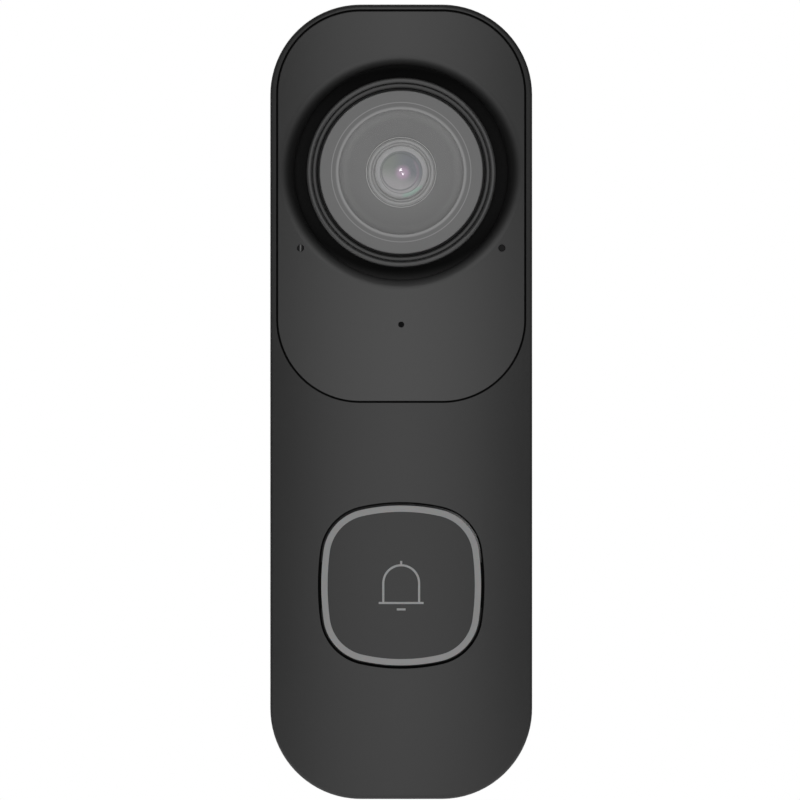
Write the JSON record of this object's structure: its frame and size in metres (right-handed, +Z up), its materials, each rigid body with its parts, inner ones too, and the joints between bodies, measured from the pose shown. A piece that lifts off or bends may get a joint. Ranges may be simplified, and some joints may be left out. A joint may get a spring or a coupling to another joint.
{
  "type": "video doorbell",
  "caption": "Slim wall-mounted video doorbell with a round camera above a rounded square push button, on a screw-fixed back plate.",
  "frame": {"origin": "centre of the wall bracket's back face, in the plane of the wall", "axes": "+Z up along the body, +X to the right as a visitor sees the front, +Y into the wall, so the front faces -Y"},
  "size_m": [0.0462, 0.0266, 0.14],
  "materials": {
    "housing_plastic": "fine matt texture, near-black grey",
    "panel_plastic": "fine matt texture, near-black grey",
    "bezel_plastic": "satin, near-black grey",
    "cap_plastic": "fine matt texture, near-black grey",
    "light_plastic": "translucent grey, unlit",
    "icon_plastic": "translucent grey, unlit",
    "clear_plastic": "clear moulded plastic",
    "smoked_glass": "grey tinted glass",
    "surround_plastic": "infrared-passing grey plastic",
    "barrel_metal": "black anodised, stepped rings",
    "lens_glass": "coated optical glass",
    "filter_pane": "bluish infrared-cut coating",
    "black_rubber": "black silicone rubber",
    "bracket_plastic": "black moulded plastic",
    "steel": "zinc-plated steel",
    "brass_plate": "tinned brass",
    "circuit_board": "green glass-fibre board with solder mask",
    "black_part": "black moulded component",
    "silicon": "sensor chip under cover glass",
    "tin": "tinned steel can",
    "copper": "enamelled copper winding",
    "led_body": "white lamp package",
    "paper_cone": "black treated speaker cone"
  },
  "bodies": {
    "unit": {"wall_bracket": "bracket_plastic", "rear_cover": "bracket_plastic", "case_gasket": "black_rubber", "front_housing": "housing_plastic", "case_screws": "steel", "security_screw": "steel", "camera_panel": "panel_plastic", "lens_bezel": "bezel_plastic", "bezel_seal": "black_rubber", "window_retaining_ring": "bezel_plastic", "window_gasket": "black_rubber", "lens_window": "smoked_glass", "lens_surround": "surround_plastic", "lens_barrel": "barrel_metal", "rear_lens": "lens_glass", "front_lens": "lens_glass", "lens_holder": "black_part", "infrared_board": "circuit_board", "infrared_leds": "led_body", "filter_housing": "black_part", "filter_coil": "copper", "camera_board": "circuit_board", "camera_screws": "steel", "image_sensor": "silicon", "light_sensor": "silicon", "light_sensor_pipe": "clear_plastic", "status_led": "led_body", "status_light_pipe": "clear_plastic", "microphone_boot": "black_rubber", "microphone": "tin", "button_board": "circuit_board", "button_screws": "steel", "button_switch": "black_part", "button_leds": "led_body", "button_light_seal": "black_rubber", "main_board": "circuit_board", "shield_can": "tin", "wireless_antenna": "circuit_board", "power_inductor": "black_part", "power_capacitors": "tin", "board_connectors": "black_part", "speaker_seal": "black_rubber", "speaker_frame": "black_part", "speaker_cone": "paper_cone", "terminal_plates": "brass_plate", "terminal_screws": "steel", "reset_switch": "black_part"},
    "button": {"button_cap": "cap_plastic", "button_light_ring": "light_plastic", "bell_icon": "icon_plastic", "button_carrier": "clear_plastic"},
    "plunger": {"switch_plunger": "black_part"},
    "filter": {"filter_carrier": "black_part", "filter_glass": "filter_pane", "clear_glass": "lens_glass"},
    "reset": {"reset_button": "black_part"}
  },
  "joints": [
    {"name": "button_press", "type": "slide", "parent": "unit", "child": "button", "axis": [0, 1, 0], "range_m": [0, 0.0006], "stiffness_N_per_m": 600, "springref_m": -0.002},
    {"name": "plunger_press", "type": "slide", "parent": "unit", "child": "plunger", "axis": [0, 1, 0], "range_m": [0, 0.0006]},
    {"name": "filter_slide", "type": "slide", "parent": "unit", "child": "filter", "axis": [-1, 0, 0], "range_m": [0, 0.0055]},
    {"name": "reset_press", "type": "slide", "parent": "unit", "child": "reset", "axis": [0, -1, 0], "range_m": [0, 0.0005], "stiffness_N_per_m": 500, "springref_m": -0.001}
  ],
  "couplings": [
    {"joint": "plunger_press", "follows": "button_press", "ratio": 1}
  ]
}
